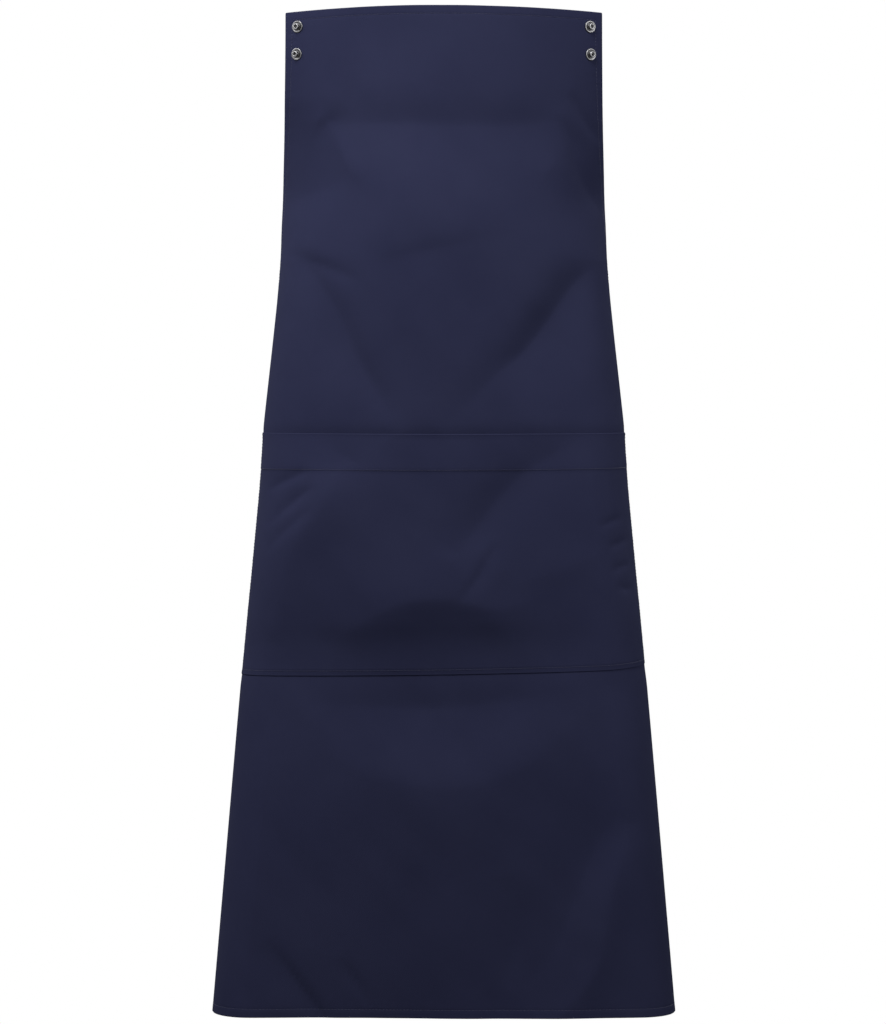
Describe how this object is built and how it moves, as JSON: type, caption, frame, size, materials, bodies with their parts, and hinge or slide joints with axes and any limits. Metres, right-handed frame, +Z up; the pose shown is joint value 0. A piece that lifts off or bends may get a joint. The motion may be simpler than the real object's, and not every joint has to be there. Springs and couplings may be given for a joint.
{
  "type": "bib apron",
  "caption": "Full-length bib apron body in navy twill with a wide front pocket, wrap-round side wings and metal press studs that take its straps.",
  "frame": {"origin": "on the wearer's upright centre line, level with the hem", "axes": "+Z up from hem to bib, -Y out of the apron's front, +X to the viewer's right when the front is looked at"},
  "size_m": [0.4008, 0.2397, 0.861],
  "materials": {
    "navy_twill": "matt navy polyester-cotton twill",
    "stay_cloth": "matt navy plain-weave stay fused to the inside",
    "thread": "navy sewing thread",
    "stud_metal": "nickel-plated pressed metal"
  },
  "bodies": {
    "apron": {"front_panel": "navy_twill", "bib_stitching": "thread", "bottom_stitching": "thread", "left_bib_stay": "stay_cloth", "right_bib_stay": "stay_cloth", "left_upper_bib_stud": "stud_metal", "left_upper_bib_stud_post": "stud_metal", "left_lower_bib_stud": "stud_metal", "left_lower_bib_stud_post": "stud_metal", "right_upper_bib_stud": "stud_metal", "right_upper_bib_stud_post": "stud_metal", "right_lower_bib_stud": "stud_metal", "right_lower_bib_stud_post": "stud_metal"},
    "left_wing": {"left_wing": "navy_twill", "left_waist_stay": "stay_cloth", "left_wing_stitching": "thread", "left_front_waist_stud": "stud_metal", "left_front_waist_stud_post": "stud_metal", "left_rear_waist_stud": "stud_metal", "left_rear_waist_stud_post": "stud_metal"},
    "right_wing": {"right_wing": "navy_twill", "right_waist_stay": "stay_cloth", "right_wing_stitching": "thread", "right_front_waist_stud": "stud_metal", "right_front_waist_stud_post": "stud_metal", "right_rear_waist_stud": "stud_metal", "right_rear_waist_stud_post": "stud_metal"},
    "pocket": {"pocket_panel": "navy_twill", "pocket_mouth_stitching": "thread", "pocket_seam_stitching": "thread"}
  },
  "joints": [
    {"name": "left_wing_swing", "type": "hinge", "parent": "apron", "child": "left_wing", "pos_m": [-0.2, -0.07763, 0], "axis": [0.0869, 0.0793, 0.9931], "range_deg": [0, 90]},
    {"name": "right_wing_swing", "type": "hinge", "parent": "apron", "child": "right_wing", "pos_m": [0.2, -0.07763, 0], "axis": [0.0869, -0.0793, -0.9931], "range_deg": [0, 90]},
    {"name": "pocket_open", "type": "hinge", "parent": "apron", "child": "pocket", "pos_m": [0, -0.11533, 0.288], "axis": [1, 0, 0], "range_deg": [0, 10]}
  ]
}
